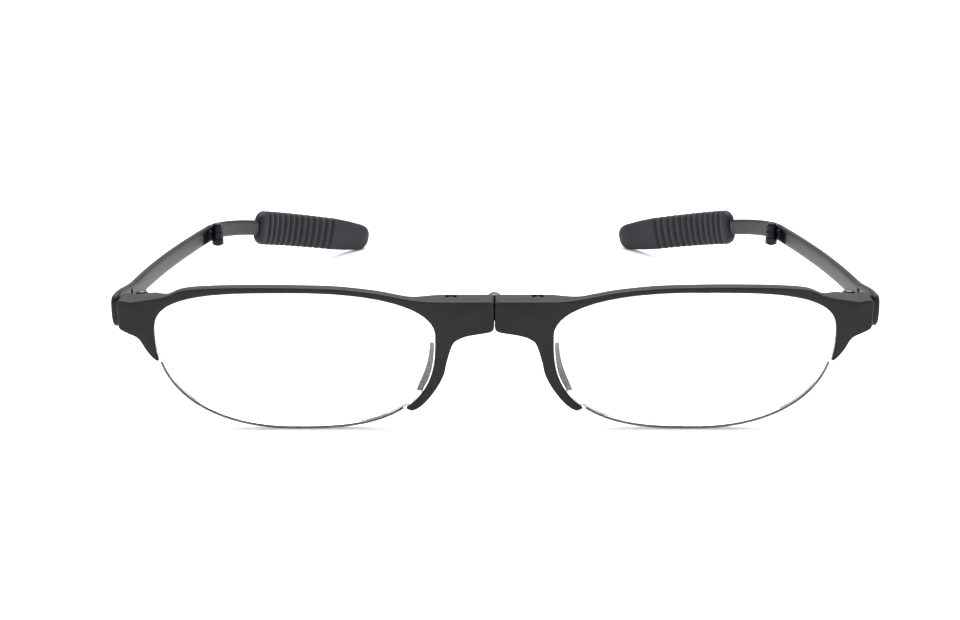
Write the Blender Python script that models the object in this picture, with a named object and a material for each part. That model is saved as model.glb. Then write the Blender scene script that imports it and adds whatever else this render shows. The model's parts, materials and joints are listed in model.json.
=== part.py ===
"""Folding reading glasses.

The front is semi-rimless and made in two halves that butt at the middle of the bridge. Each half holds
its lens by a bevel in the upper rim and by a thread in a groove round the bare lower edge. Five upright
hinges fold the glasses: one behind the bridge, one at each end piece and one half-way along each arm.
The wearer's left is +X, the front looks along -Y, and the lenses and arm tips stand on Z = 0.
"""

import math

import bmesh
import bpy
import numpy as np
from mathutils import Matrix, Vector

MM = 0.001

# Front
FRONT_WIDTH = 131.0 * MM        # over both arms
LENS_WIDTH = 47.6 * MM
LENS_HEIGHT = 24.4 * MM
BRIDGE_WIDTH = 20.4 * MM        # between the lenses
BRIDGE_HEIGHT = 5.5 * MM
BRIDGE_DEPTH = 4.6 * MM
RIM_FACE = 1.05 * MM            # height of the rim above the lens, at the middle
RIM_CORNER = 1.9 * MM           # the same at the outer corner
RIM_DEPTH = 2.2 * MM
NOSE_ARM_WIDTH = 2.3 * MM
END_HEIGHT = 5.1 * MM
END_DEPTH = 5.0 * MM
END_DROP = 1.45 * MM            # top of the end piece below the top of the lens
SEAM_GAP = 0.10 * MM
EDGE = 0.22 * MM                # softened edges
STEP_START = 0.5 * MM           # from the lens to where the bridge and end pieces begin to deepen
STEP_RUN = 0.7 * MM

# Lenses
LENS_WIDEST = 16.4 * MM         # height of the widest line above the lens's lowest point
LENS_THICKNESS = 1.9 * MM
FRONT_RADIUS = 200.0 * MM
BACK_RADIUS = 333.0 * MM
LENS_GAP = 0.10 * MM
BEVEL = 0.35 * MM               # height of the bevel that sits in the rim
GROOVE = 0.60 * MM              # depth of the groove for the thread
THREAD_RADIUS = 0.24 * MM
LUG_END = -10.0                 # polar angles where the rim leaves the lens
NOSE_END = 214.0

# Nose pads
PAD_REACH = 4.6 * MM
PAD_FLARE = 2.2 * MM
PAD_THICKNESS = 1.0 * MM

# Arms
ARM_HEIGHT = 3.4 * MM
ARM_THICKNESS = 1.5 * MM
ARM_FRONT_HEIGHT = 5.6 * MM
ARM_OVERLAP = 3.2 * MM          # how far the arm runs forward beside the end piece
MID_HINGE_Y = 65.0 * MM         # from the lens's front to the mid-arm hinge
MID_INSET = 4.0 * MM            # how far the arm leans in by then
MID_DROP = 2.6 * MM             # and how far it drops
ARM_LENGTH = 121.0 * MM         # from the lens's front to the tip
TIP_INSET = 33.0 * MM           # how far the tip leans in
TIP_FALL = 7.5 * MM             # how far the last third of the rear arm drops
ARM_GAP = 0.15 * MM

# Grips
GRIP_START = 0.44               # share of the rear arm's curve that is bare
GRIP_HEIGHT = 7.8 * MM
GRIP_THICKNESS = 2.9 * MM
TIP_HEIGHT = 5.6 * MM
RIB_COUNT = 12
RIB_DEPTH = 0.40 * MM
CORE_HEIGHT = 2.4 * MM
CORE_THICKNESS = 1.0 * MM
CORE_GAP = 0.15 * MM

# Hinges
KNUCKLE_RADIUS = 1.25 * MM
KNUCKLE_HEIGHT = 1.30 * MM
KNUCKLE_GAP = 0.12 * MM
PIN_RADIUS = 0.55 * MM
PIN_GAP = 0.10 * MM
HEAD_RADIUS = 0.95 * MM
HEAD_HEIGHT = 0.40 * MM
HINGE_GAP = 0.15 * MM
LEAF = 0.60 * MM                # thickness of a leaf's plate
LEAF_LENGTH = 5.2 * MM
LEAF_HEIGHT = 2.3 * MM
SLOT_GAP = 0.12 * MM
NIP = 0.05 * MM                 # webs stay this far inside the faces of what they join
TONGUE_LENGTH = 7.4 * MM        # of the bridge leaf, along the bridge
TONGUE_DEPTH = 2.5 * MM
TONGUE_THICKNESS = 1.0 * MM
SCREW_X = 7.4 * MM
SCREW_RADIUS = 0.5 * MM

# Derived places
THREAD_CENTRE = -GROOVE + 1.6 * (THREAD_RADIUS + 0.05 * MM)
LENS_BOTTOM = THREAD_CENTRE + THREAD_RADIUS
LENS_X = (BRIDGE_WIDTH + LENS_WIDTH) / 2
LENS_Z = LENS_BOTTOM + LENS_WIDEST
LENS_TOP = LENS_BOTTOM + LENS_HEIGHT
END_X = FRONT_WIDTH / 2 - ARM_THICKNESS - ARM_GAP
END_TOP = LENS_TOP - END_DROP
END_Z = END_TOP - END_HEIGHT / 2
BRIDGE_TOP = LENS_TOP - 1.7 * MM
BRIDGE_BOTTOM = BRIDGE_TOP - BRIDGE_HEIGHT
BRIDGE_Z = (BRIDGE_TOP + BRIDGE_BOTTOM) / 2
EDGE_Y = (LENS_WIDTH / 2) ** 2 / (2 * FRONT_RADIUS)     # lens's front face at its widest
FRONT_Y = EDGE_Y - (RIM_DEPTH - LENS_THICKNESS)         # front faces of the bridge and end pieces
BRIDGE_AXIS_Y = FRONT_Y + BRIDGE_DEPTH + KNUCKLE_RADIUS + HINGE_GAP
END_AXIS_Y = FRONT_Y + END_DEPTH + KNUCKLE_RADIUS + HINGE_GAP
END_AXIS_X = END_X - 2.7 * MM
ARM_X = FRONT_WIDTH / 2 - ARM_THICKNESS / 2
BARREL_HEIGHT = 3 * KNUCKLE_HEIGHT + 2 * KNUCKLE_GAP
SIDES = 12                      # facets round a knuckle or a pin
OUTLINE_STEPS = 8               # steps of the outer outline between two of its points
LENS_POINTS = 56                # points round a lens, shared by the rim


def clear_scene():
    """Take every object out of the open file."""
    for item in list(bpy.data.objects):
        bpy.data.objects.remove(item, do_unlink=True)


def make_material(name, colour, roughness, metallic=0.0, transmission=0.0):
    """A Principled material."""
    material = bpy.data.materials.new(name)
    material.use_nodes = True
    shader = material.node_tree.nodes["Principled BSDF"]
    shader.inputs["Base Color"].default_value = (*colour, 1.0)
    shader.inputs["Roughness"].default_value = roughness
    shader.inputs["Metallic"].default_value = metallic
    shader.inputs["Transmission Weight"].default_value = transmission
    return material


def add_object(name, mesh, material, parent=None):
    """Put a mesh into the scene under its parent, keeping the place it is modelled in."""
    item = bpy.data.objects.new(name, mesh)
    bpy.context.scene.collection.objects.link(item)
    mesh.materials.clear()
    mesh.materials.append(material)
    if parent is not None:
        item.parent = parent
    return item


def add_empty(name, place, parent=None):
    """An empty on a joint's axis; its place is given in its parent's frame."""
    empty = bpy.data.objects.new(name, None)
    empty.empty_display_size = 5 * MM
    empty.location = place
    bpy.context.scene.collection.objects.link(empty)
    if parent is not None:
        empty.parent = parent
    return empty


def finish_mesh(bm, name, smooth_angle=35.0):
    """Merge doubles, turn the faces outwards and shade the round parts smooth."""
    bmesh.ops.remove_doubles(bm, verts=bm.verts, dist=0.002 * MM)
    bmesh.ops.recalc_face_normals(bm, faces=bm.faces)
    mesh = bpy.data.meshes.new(name)
    bm.to_mesh(mesh)
    bm.free()
    mesh.shade_smooth()
    mesh.set_sharp_from_angle(angle=math.radians(smooth_angle))
    return mesh


def ring_mesh(name, rings):
    """A closed skin over a row of rings with equal point counts, each end closed by a fan."""
    bm = bmesh.new()
    loops = [[bm.verts.new(point) for point in ring] for ring in rings]
    count = len(loops[0])
    for near, far in zip(loops, loops[1:]):
        for i in range(count):
            j = (i + 1) % count
            bm.faces.new((near[i], near[j], far[j], far[i]))
    for loop, ring in ((loops[0], rings[0]), (loops[-1], rings[-1])):
        centre = bm.verts.new(np.mean(ring, axis=0))
        for i in range(count):
            bm.faces.new((loop[i], loop[(i + 1) % count], centre))
    return finish_mesh(bm, name)


def evaluated_copy(item):
    """The mesh of an object after its modifiers."""
    graph = bpy.context.evaluated_depsgraph_get()
    return bpy.data.meshes.new_from_object(item.evaluated_get(graph))


def cut_or_join(item, tools, operation):
    """Apply one exact Boolean per tool mesh and drop the tools."""
    for tool_mesh in tools:
        tool = bpy.data.objects.new(item.name + "_tool", tool_mesh)
        tool.hide_render = True
        tool.display_type = "WIRE"
        bpy.context.scene.collection.objects.link(tool)
        step = item.modifiers.new("step", "BOOLEAN")
        step.operation = operation
        step.solver = "EXACT"
        step.use_self = True
        step.object = tool
        result = evaluated_copy(item)
        item.modifiers.remove(step)
        item.data = result
        bpy.data.objects.remove(tool, do_unlink=True)


def box_mesh(low, high):
    """A box between two corners."""
    low, high = np.minimum(low, high), np.maximum(low, high)
    bm = bmesh.new()
    bmesh.ops.create_cube(bm, size=1.0)
    bmesh.ops.scale(bm, vec=Vector(high - low), verts=bm.verts)
    bmesh.ops.translate(bm, vec=Vector((low + high) / 2), verts=bm.verts)
    return finish_mesh(bm, "box")


def turned_mesh(name, centre, profile):
    """An upright turned piece: profile is a list of (radius, height) from the bottom up."""
    turn = np.arange(SIDES) * 2 * math.pi / SIDES
    rings = []
    for radius, height in profile:
        x = centre[0] + radius * np.cos(turn)
        y = centre[1] + radius * np.sin(turn)
        rings.append(np.stack([x, y, np.full(SIDES, centre[2] + height)], axis=1))
    return ring_mesh(name, rings)


def rod_mesh(centre, radius, low, high):
    """An upright cylinder between two heights above the centre."""
    return turned_mesh("rod", centre, [(radius, low), (radius, high)])


def smooth_line(points, steps):
    """A Catmull-Rom curve through the points, with equal steps between neighbours."""
    points = np.asarray(points, dtype=float)
    padded = np.vstack([2 * points[0] - points[1], points, 2 * points[-1] - points[-2]])
    t = (np.arange(steps) / steps)[:, None]
    pieces = []
    for a, b, c, d in zip(padded, padded[1:], padded[2:], padded[3:]):
        pieces.append(0.5 * (2 * b + (c - a) * t + (2 * a - 5 * b + 4 * c - d) * t ** 2
                             + (3 * b - a - 3 * c + d) * t ** 3))
    return np.vstack(pieces + [points[-1:]])


def bezier(points, t):
    """A cubic Bezier curve and its direction at the parameters t."""
    a, b, c, d = (np.asarray(point, dtype=float) for point in points)
    t = np.asarray(t, dtype=float)[:, None]
    s = 1 - t
    place = s ** 3 * a + 3 * s ** 2 * t * b + 3 * s * t ** 2 * c + t ** 3 * d
    along = 3 * s ** 2 * (b - a) + 6 * s * t * (c - b) + 3 * t ** 2 * (d - c)
    return place, along / np.linalg.norm(along, axis=1)[:, None]


def smooth_step(value, low, high):
    """0 below low, 1 above high and a smooth rise between (low may be above high)."""
    t = np.clip((value - low) / (high - low), 0.0, 1.0)
    return t * t * (3 - 2 * t)


# ---------------------------------------------------------------- lenses

def lens_edge(angle, out=0.0):
    """Point of the left lens's outline at a polar angle in degrees, moved out square to the edge.

    The outline is made of four quarter superellipses about the middle of the widest line.
    """
    angle = np.radians(np.asarray(angle, dtype=float))
    across, up = np.cos(angle), np.sin(angle)
    half_width = LENS_WIDTH / 2
    half_height = np.where(up > 0, LENS_HEIGHT - LENS_WIDEST, LENS_WIDEST)
    outer_power = np.where(up > 0, 3.1, 2.25)
    nose_power = np.where(up > 0, 2.2, 2.8)
    power = np.where(across > 0, outer_power, nose_power)
    radius = (np.abs(across / half_width) ** power + np.abs(up / half_height) ** power) ** (-1 / power)
    x, z = radius * across, radius * up
    normal_x = np.sign(x) * np.abs(x / half_width) ** (power - 1) / half_width
    normal_z = np.sign(z) * np.abs(z / half_height) ** (power - 1) / half_height
    length = np.hypot(normal_x, normal_z)
    return np.stack([LENS_X + x + out * normal_x / length, LENS_Z + z + out * normal_z / length], axis=-1)


def even_angles(start, end, count):
    """Polar angles between two that step evenly along the lens's edge."""
    fine = np.linspace(start, end, 2000)
    points = lens_edge(fine)
    run = np.concatenate([[0.0], np.cumsum(np.linalg.norm(np.diff(points, axis=0), axis=1))])
    return np.interp(np.linspace(0, run[-1], count), run, fine)


def lens_angles():
    """Polar angles of the points round a lens, starting at the lug."""
    return even_angles(LUG_END, LUG_END + 360, LENS_POINTS + 1)[:-1]


def lens_face(x, z, back=False):
    """Y of the lens's front or back surface, two shallow spheres about the lens's middle."""
    middle = LENS_BOTTOM + LENS_HEIGHT / 2
    reach = (x - LENS_X) ** 2 + (z - middle) ** 2
    if back:
        return LENS_THICKNESS + reach / (2 * BACK_RADIUS)
    return reach / (2 * FRONT_RADIUS)


def edge_middle(points):
    """Y half-way through the lens at its edge."""
    front = lens_face(points[:, 0], points[:, 1])
    back = lens_face(points[:, 0], points[:, 1], back=True)
    return (front + back) / 2


def make_lens(name, side, material, parent):
    """A lens: two spherical faces, with a bevel on the edge in the rim and a groove on the bare edge."""
    angles = lens_angles()
    edge = lens_edge(angles)
    in_rim = smooth_step(angles, LUG_END, LUG_END + 3) * smooth_step(angles, NOSE_END, NOSE_END - 3)
    bevelled = lens_edge(angles, BEVEL * in_rim - GROOVE * (1 - in_rim))
    middle = np.array([LENS_X, LENS_BOTTOM + LENS_HEIGHT / 2])
    front = lens_face(edge[:, 0], edge[:, 1])
    back = lens_face(edge[:, 0], edge[:, 1], back=True)
    half = GROOVE * 0.85
    centre = (front + back) / 2
    rings = []
    for share in (0.45, 0.82):
        flat = middle + (edge - middle) * share
        rings.append(np.stack([flat[:, 0], lens_face(flat[:, 0], flat[:, 1]), flat[:, 1]], axis=1))
    for outline, depth in ((edge, front), (edge, centre - half), (bevelled, centre),
                           (edge, centre + half), (edge, back)):
        rings.append(np.stack([outline[:, 0], depth, outline[:, 1]], axis=1))
    for share in (0.82, 0.45):
        flat = middle + (edge - middle) * share
        rings.append(np.stack([flat[:, 0], lens_face(flat[:, 0], flat[:, 1], back=True), flat[:, 1]], axis=1))
    rings = [ring * (side, 1, 1) for ring in rings]
    return add_object(name, ring_mesh(name, rings), material, parent)


def make_thread(name, side, material, parent):
    """The round thread that lies in the lens's groove from the nose arm to the lug."""
    angles = even_angles(NOSE_END + 1.5, LUG_END + 358.5, 36)
    path = lens_edge(angles, THREAD_CENTRE)
    outward = lens_edge(angles, THREAD_CENTRE + MM) - path
    outward = outward / np.linalg.norm(outward, axis=1)[:, None]
    depth = edge_middle(lens_edge(angles))
    rings = []
    for point, away, y in zip(path, outward, depth):
        ring = []
        for turn in np.arange(6) * math.pi / 3:
            reach = THREAD_RADIUS * math.cos(turn)
            ring.append((side * (point[0] + away[0] * reach), y + THREAD_RADIUS * math.sin(turn),
                         point[1] + away[1] * reach))
        rings.append(ring)
    return add_object(name, ring_mesh(name, rings), material, parent)


# ---------------------------------------------------------------- front halves

def outer_outline():
    """The left half's outer outline in X and Z, from the lug's tip over the rim to the nose arm's tip."""
    bottom = END_TOP - END_HEIGHT
    half_bridge = BRIDGE_WIDTH / 2
    seam = SEAM_GAP / 2
    lug = [lens_edge(LUG_END, 0.35 * MM), lens_edge(LUG_END + 1.5, 0.95 * MM), lens_edge(LUG_END + 5, 1.8 * MM)]
    end_piece = [(END_X - 3.2 * MM, bottom - 1.7 * MM), (END_X - 1.6 * MM, bottom - 0.8 * MM),
                 (END_X - 0.4 * MM, bottom - 0.15 * MM), (END_X, bottom + 0.5 * MM),
                 (END_X, END_Z), (END_X, END_TOP - 0.5 * MM), (END_X - 0.4 * MM, END_TOP),
                 (END_X - 1.4 * MM, END_TOP - 0.05 * MM), (END_X - 2.8 * MM, END_TOP - 0.2 * MM)]
    rim = [lens_edge(14.5, RIM_CORNER), lens_edge(20.0, RIM_CORNER * 0.95)]
    rim += [lens_edge(angle, RIM_FACE * share) for angle, share in
            ((29.0, 1.3), (48.0, 1.08), (90.0, 1.0), (132.0, 1.0), (153.0, 1.1))]
    bridge = [(half_bridge + 4.6 * MM, BRIDGE_TOP + 0.55 * MM), (half_bridge + 1.2 * MM, BRIDGE_TOP + 0.1 * MM),
              (half_bridge * 0.8, BRIDGE_TOP), (half_bridge * 0.5, BRIDGE_TOP),
              (half_bridge * 0.25, BRIDGE_TOP), (seam + 1.0 * MM, BRIDGE_TOP),
              (seam + 0.3 * MM, BRIDGE_TOP - 0.15 * MM), (seam, BRIDGE_TOP - 0.7 * MM),
              (seam, BRIDGE_Z), (seam, BRIDGE_BOTTOM + 0.9 * MM),
              (seam + 0.35 * MM, BRIDGE_BOTTOM + 0.2 * MM), (seam + 1.1 * MM, BRIDGE_BOTTOM - 0.05 * MM),
              (half_bridge * 0.42, BRIDGE_BOTTOM - 0.6 * MM), (half_bridge * 0.6, BRIDGE_BOTTOM - 1.3 * MM),
              (half_bridge * 0.7, BRIDGE_BOTTOM - 2.3 * MM)]
    nose_arm = [lens_edge(angle, NOSE_ARM_WIDTH * share) for angle, share in
                ((190.0, 1.0), (195.0, 0.96), (200.5, 0.82), (206.0, 0.72), (210.0, 0.66), (213.0, 0.5))]
    nose_arm.append(lens_edge(NOSE_END, 0.35 * MM))
    return smooth_line(lug + end_piece + rim + bridge + nose_arm, OUTLINE_STEPS)


def back_depth(outer):
    """Depth of the half at an outer point: deep at the bridge and the end piece, thin along the rim."""
    x, z = outer[:, 0], outer[:, 1]
    half_bridge = BRIDGE_WIDTH / 2
    at_bridge = smooth_step(x, half_bridge + 5 * MM, half_bridge - 1 * MM)
    at_bridge = at_bridge * smooth_step(z, BRIDGE_BOTTOM - 4.5 * MM, BRIDGE_BOTTOM - 1.5 * MM)
    at_end = smooth_step(x, END_X - 9 * MM, END_X - 5 * MM)
    at_end = at_end * smooth_step(z, END_TOP - END_HEIGHT - 4 * MM, END_TOP - END_HEIGHT - 1 * MM)
    return RIM_DEPTH + (BRIDGE_DEPTH - RIM_DEPTH) * at_bridge + (END_DEPTH - RIM_DEPTH) * at_end


def half_stations():
    """Lens angles and outer points of a half's sections.

    Every point of the lens's own outline has a section, so rim and lens meet along the same facets. The
    end piece and the bridge, whose outer outline turns more than the lens's, have more sections between.
    """
    outline = outer_outline()
    fine = np.linspace(LUG_END - 5, NOSE_END + 5, 6000)
    edge = lens_edge(fine)
    nearest = np.argmin(np.linalg.norm(outline[:, None, :] - edge[None], axis=2), axis=1)
    facing = fine[nearest]
    shared = lens_angles()
    shared = shared[(shared > facing[0] + 0.3) & (shared < facing[-1] - 0.3)]
    turning = (outline[:, 0] > END_X - 6 * MM) | (outline[:, 0] < BRIDGE_WIDTH / 2 + 2 * MM)
    turning &= outline[:, 1] > BRIDGE_BOTTOM - 3 * MM
    extra = facing[turning][::OUTLINE_STEPS // 2]
    angles = np.unique(np.concatenate([[facing[0]], shared, extra, [facing[-1]]]))
    outer = np.stack([np.interp(angles, facing, outline[:, 0]), np.interp(angles, facing, outline[:, 1])],
                     axis=1)
    return angles, outer


def half_sections(side):
    """Cross-sections of a front half, each from the lens's edge straight out to the outer outline."""
    angles, outer = half_stations()
    inner = lens_edge(angles, LENS_GAP)
    groove = lens_edge(angles, LENS_GAP + BEVEL)
    deep = back_depth(outer)
    front = edge_middle(lens_edge(angles)) - RIM_DEPTH / 2
    middle = RIM_DEPTH / 2
    half = GROOVE * 0.85
    rings = []
    for i, (start, end) in enumerate(zip(inner, outer)):
        reach = np.linalg.norm(end - start)
        soft = min(EDGE, reach * 0.3)
        step_in = min(STEP_START, reach * 0.45)
        step_out = min(STEP_START + STEP_RUN, reach * 0.6)
        shape = [(0, EDGE), (soft, 0), (reach - soft, 0), (reach, EDGE), (reach, deep[i] - EDGE),
                 (reach - soft, deep[i]), (step_out, deep[i]), (step_in, RIM_DEPTH),
                 (soft, RIM_DEPTH), (0, RIM_DEPTH - EDGE), (0, middle + half)]
        along = (end - start) / reach
        ring = [(*(start + along * far), front[i] + depth) for far, depth in shape]
        valley = groove[i] if reach > 2 * BEVEL else start
        ring.append((*valley, front[i] + middle))
        ring.append((*start, front[i] + middle - half))
        rings.append([(side * x, y, z) for x, z, y in ring])
    return rings


def pad_wing(side):
    """The nose pad: a thin curved fin that leaves the back of the nose arm and flares outwards."""
    rings = []
    for share in np.linspace(0, 1, 7):
        angle = 184.0 + 20.0 * share
        size = math.sqrt(max(1 - (2 * share - 1) ** 4, 0.12))
        root = lens_edge(angle, NOSE_ARM_WIDTH * 0.5)
        y = float(edge_middle(lens_edge([angle]))[0])
        ring = []
        for back in np.linspace(0, 1, 5):
            depth = y + 0.3 * MM + back * PAD_REACH * size
            ring.append((root[0] - PAD_THICKNESS / 2 + PAD_FLARE * back ** 1.6, depth, root[1]))
        for back in np.linspace(1, 0, 5):
            depth = y + 0.3 * MM + back * PAD_REACH * size
            thickness = PAD_THICKNESS * (1 - 0.4 * back)
            ring.append((root[0] - PAD_THICKNESS / 2 + thickness + PAD_FLARE * back ** 1.6, depth, root[1]))
        rings.append([(side * px, py, pz) for px, py, pz in ring])
    return ring_mesh("pad", rings)


def make_half(name, side, material, parent):
    """A front half with its nose pad, and the slots and bore that take the hinge leaves."""
    half = add_object(name, ring_mesh(name, half_sections(side)), material)
    cut_or_join(half, [pad_wing(side)], "UNION")
    back = FRONT_Y + BRIDGE_DEPTH
    slot_half = TONGUE_THICKNESS / 2 + SLOT_GAP
    bridge_slot = box_mesh(
        np.array([side * (KNUCKLE_RADIUS + HINGE_GAP), back - TONGUE_DEPTH - SLOT_GAP, BRIDGE_Z - slot_half]),
        np.array([side * (KNUCKLE_RADIUS + TONGUE_LENGTH + HINGE_GAP + 2 * SLOT_GAP), back + 2 * MM,
                  BRIDGE_Z + slot_half]))
    screw_y = back - TONGUE_DEPTH / 2
    centre = (side * SCREW_X, screw_y, BRIDGE_Z)
    top = BRIDGE_TOP - BRIDGE_Z
    bore = turned_mesh("bore", centre, [(SCREW_RADIUS + PIN_GAP, -top + 0.9 * MM),
                                        (SCREW_RADIUS + PIN_GAP, top - HEAD_HEIGHT - 0.35 * MM),
                                        (HEAD_RADIUS + PIN_GAP, top - HEAD_HEIGHT - 0.35 * MM + 0.01 * MM),
                                        (HEAD_RADIUS + PIN_GAP, top + 2 * MM)])
    end_back = FRONT_Y + END_DEPTH
    end_slot = box_mesh(
        np.array([side * (END_AXIS_X - LEAF / 2 - SLOT_GAP), end_back - TONGUE_DEPTH - SLOT_GAP,
                  END_Z - LEAF_HEIGHT / 2 - SLOT_GAP]),
        np.array([side * (END_AXIS_X + LEAF / 2 + SLOT_GAP), end_back + 2 * MM,
                  END_Z + LEAF_HEIGHT / 2 + SLOT_GAP]))
    cut_or_join(half, [bridge_slot, bore, end_slot], "DIFFERENCE")
    half.parent = parent
    return half


# ---------------------------------------------------------------- hinges

def knuckle_levels():
    """Lowest and highest level of the three knuckles about the barrel's middle."""
    pitch = KNUCKLE_HEIGHT + KNUCKLE_GAP
    return [(i * pitch - KNUCKLE_HEIGHT / 2, i * pitch + KNUCKLE_HEIGHT / 2) for i in (-1, 0, 1)]


def make_leaf(name, centre, knuckles, boxes, holes, material, parent, turn=0.0):
    """A hinge leaf: its knuckles and boxes joined, then bored for the pin and any screw."""
    low, high = knuckles[0]
    leaf = add_object(name, rod_mesh((0, 0, 0), KNUCKLE_RADIUS, low, high), material)
    rest = [rod_mesh((0, 0, 0), KNUCKLE_RADIUS, low, high) for low, high in knuckles[1:]]
    cut_or_join(leaf, [box_mesh(np.array(a), np.array(b)) for a, b in boxes] + rest, "UNION")
    bores = [rod_mesh((0, 0, 0), PIN_RADIUS + PIN_GAP, -BARREL_HEIGHT, BARREL_HEIGHT)]
    bores += [rod_mesh((*place, 0), radius, -BARREL_HEIGHT, BARREL_HEIGHT) for place, radius in holes]
    cut_or_join(leaf, bores, "DIFFERENCE")
    place = Matrix.Translation(Vector(centre)) @ Matrix.Rotation(turn, 4, "Z")
    leaf.data.transform(place)
    leaf.data.materials.clear()
    leaf.data.materials.append(material)
    leaf.parent = parent
    return leaf


def make_pin(name, centre, material, parent):
    """A hinge pin with a low domed head at the top and a smaller peened head at the bottom."""
    half = BARREL_HEIGHT / 2
    gap = 0.06 * MM
    profile = [(0.5 * PIN_RADIUS, -half - gap - 0.3 * MM), (1.25 * PIN_RADIUS, -half - gap - 0.2 * MM),
               (1.25 * PIN_RADIUS, -half - gap), (PIN_RADIUS, -half - gap + 0.01 * MM),
               (PIN_RADIUS, half + gap - 0.01 * MM), (HEAD_RADIUS, half + gap),
               (HEAD_RADIUS, half + gap + 0.5 * HEAD_HEIGHT), (0.6 * HEAD_RADIUS, half + gap + HEAD_HEIGHT)]
    return add_object(name, turned_mesh(name, centre, profile), material, parent)


def make_bridge_hinge(materials, right_parent, left_parent):
    """Two leaves let into the backs of the halves, the pin, and a screw through each leaf's tongue."""
    lower, middle, upper = knuckle_levels()
    start = KNUCKLE_RADIUS + HINGE_GAP + SLOT_GAP
    end = start + TONGUE_LENGTH
    inside = -(KNUCKLE_RADIUS + HINGE_GAP + TONGUE_DEPTH)
    flat = TONGUE_THICKNESS / 2
    block = 1.4 * MM
    web = 0.6 * MM
    hole_y = -(KNUCKLE_RADIUS + HINGE_GAP + TONGUE_DEPTH / 2)
    centre = (0, BRIDGE_AXIS_Y, BRIDGE_Z)
    for name, side, levels, parent in (("left_bridge_leaf", 1, [middle], left_parent),
                                       ("right_bridge_leaf", -1, [lower, upper], right_parent)):
        boxes = [((side * start, inside, -flat), (side * end, -KNUCKLE_RADIUS - HINGE_GAP - SLOT_GAP, flat)),
                 ((side * (start + NIP), inside + NIP, NIP - flat), (side * (start + block), web, flat - NIP))]
        boxes += [((0, NIP - web, low + NIP), (side * (start + block - NIP), web - NIP, high - NIP))
                  for low, high in levels]
        if side < 0:
            boxes.append(((side * (start + 2 * NIP), 2 * NIP - web, lower[0] + 2 * NIP),
                          (side * (start + block + NIP), web - 2 * NIP, upper[1] - 2 * NIP)))
        make_leaf(name, centre, levels, boxes, [((side * SCREW_X, hole_y), SCREW_RADIUS + PIN_GAP)],
                  materials["steel"], parent)
    make_pin("bridge_pin", centre, materials["steel"], right_parent)
    top = BRIDGE_TOP - BRIDGE_Z
    for name, side, parent in (("left_bridge_screw", 1, left_parent), ("right_bridge_screw", -1, right_parent)):
        place = (side * SCREW_X, FRONT_Y + BRIDGE_DEPTH - TONGUE_DEPTH / 2, BRIDGE_Z)
        seat = top - HEAD_HEIGHT - 0.25 * MM
        profile = [(0.6 * SCREW_RADIUS, -top + 1.15 * MM), (SCREW_RADIUS, -top + 1.4 * MM),
                   (SCREW_RADIUS, seat - 0.01 * MM), (HEAD_RADIUS, seat), (HEAD_RADIUS, seat + 0.6 * HEAD_HEIGHT),
                   (0.7 * HEAD_RADIUS, seat + HEAD_HEIGHT)]
        add_object(name, turned_mesh(name, place, profile), materials["dark_steel"], parent)


def make_end_hinge(word, side, materials, front_parent, arm_parent):
    """The hinge between end piece and arm: the arm's leaf holds the middle knuckle."""
    lower, middle, upper = knuckle_levels()
    centre = (side * END_AXIS_X, END_AXIS_Y, END_Z)
    half = LEAF / 2
    tall = LEAF_HEIGHT / 2
    back = -(KNUCKLE_RADIUS + HINGE_GAP)
    boxes = [((-half, back - TONGUE_DEPTH, -tall), (half, back - SLOT_GAP / 2, tall))]
    for low, high in (lower, upper):
        near, far = (low + NIP, tall - NIP) if low > 0 else (NIP - tall, high - NIP)
        boxes.append(((NIP - half, back - 1.0 * MM, near), (half - NIP, 0, far)))
    make_leaf(f"{word}_end_leaf", centre, [lower, upper], boxes, [], materials["steel"], front_parent)
    face = ARM_X - ARM_THICKNESS / 2 - END_AXIS_X + SLOT_GAP
    web = 0.55 * MM
    boxes = [((0, -web, middle[0] + NIP), (side * (face + LEAF - NIP), web, middle[1] - NIP)),
             ((side * face, -1.4 * MM, -tall), (side * (face + LEAF), LEAF_LENGTH, tall))]
    make_leaf(f"{word}_arm_leaf", centre, [middle], boxes, [], materials["steel"], arm_parent)
    make_pin(f"{word}_end_screw", centre, materials["dark_steel"], front_parent)


def make_mid_hinge(word, side, frame, materials, front_parent, rear_parent):
    """The hinge half-way along an arm: a barrel of three knuckles on the arm's inner side."""
    lower, middle, upper = knuckle_levels()
    centre, turn = frame
    face = KNUCKLE_RADIUS + HINGE_GAP + SLOT_GAP
    near = 0.12 * MM
    web = 1.0 * MM
    tall = LEAF_HEIGHT / 2
    boxes = [((0, -web, middle[0] + NIP), (side * (face + LEAF - NIP), -near, middle[1] - NIP)),
             ((side * face, -LEAF_LENGTH, -tall), (side * (face + LEAF), -near - NIP, tall))]
    make_leaf(f"{word}_mid_front_leaf", centre, [middle], boxes, [], materials["dark_steel"],
              front_parent, turn)
    boxes = [((side * face, near + NIP, -tall), (side * (face + LEAF), LEAF_LENGTH, tall))]
    for low, high in (lower, upper):
        inner_low, inner_high = (low + 2 * NIP, tall - NIP) if low > 0 else (NIP - tall, high - 2 * NIP)
        boxes.append(((0, near, low + NIP), (side * (KNUCKLE_RADIUS * 0.95), web, high - NIP)))
        boxes.append(((side * 0.5 * MM, near + NIP, inner_low),
                      (side * (face + LEAF - NIP), web - NIP, inner_high)))
    make_leaf(f"{word}_mid_rear_leaf", centre, [lower, upper], boxes, [], materials["dark_steel"],
              rear_parent, turn)
    make_pin(f"{word}_mid_pin", centre, materials["dark_steel"], front_parent)


# ---------------------------------------------------------------- arms

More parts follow.
